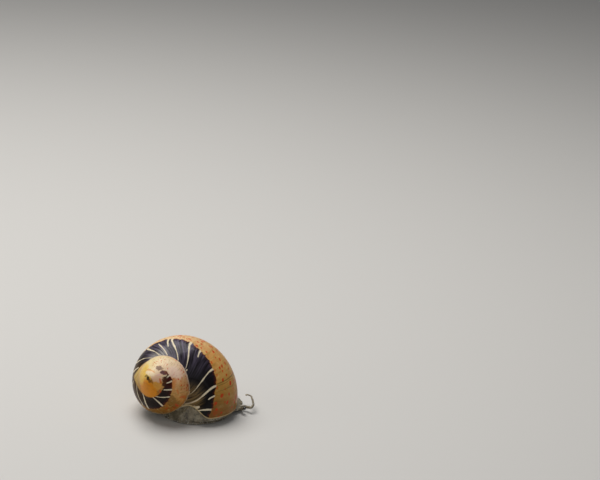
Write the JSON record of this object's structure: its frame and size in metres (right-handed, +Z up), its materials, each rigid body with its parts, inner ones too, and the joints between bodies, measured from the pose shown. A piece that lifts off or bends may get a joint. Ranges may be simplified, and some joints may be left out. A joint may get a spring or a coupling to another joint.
{
  "type": "nerite snail",
  "caption": "Nerite snail standing on its foot: globular right-coiled shell with a worn spire, operculum under the deck, blunt snout, long feelers and eyes on short stalks.",
  "frame": {"origin": "on the floor, under the middle of the whole animal's box", "axes": "+Z up, +X the way the head points, +Y the animal's left"},
  "size_m": [0.02, 0.0136, 0.0122],
  "materials": {
    "shell": "glossy porcelain-like shell: purple-black blocks parted by cream lines in a band below the suture, tan to olive base with red-orange flecks, worn white apex",
    "flesh": "moist grey skin with black streaks and fine white specks",
    "operculum": "smooth grey-brown calcareous plate with a paler spiral centre",
    "eye": "glossy black bead"
  },
  "bodies": {
    "root": {"shell": "shell", "mantle": "flesh", "foot_rear": "flesh", "foot_middle": "flesh", "foot_front": "flesh", "head": "flesh", "operculum": "operculum", "snout": "flesh", "tentacle_right_base": "flesh", "tentacle_right_tip": "flesh", "eye_stalk_right": "flesh", "eye_right": "eye", "tentacle_left_base": "flesh", "tentacle_left_tip": "flesh", "eye_stalk_left": "flesh", "eye_left": "eye"}
  },
  "joints": []
}
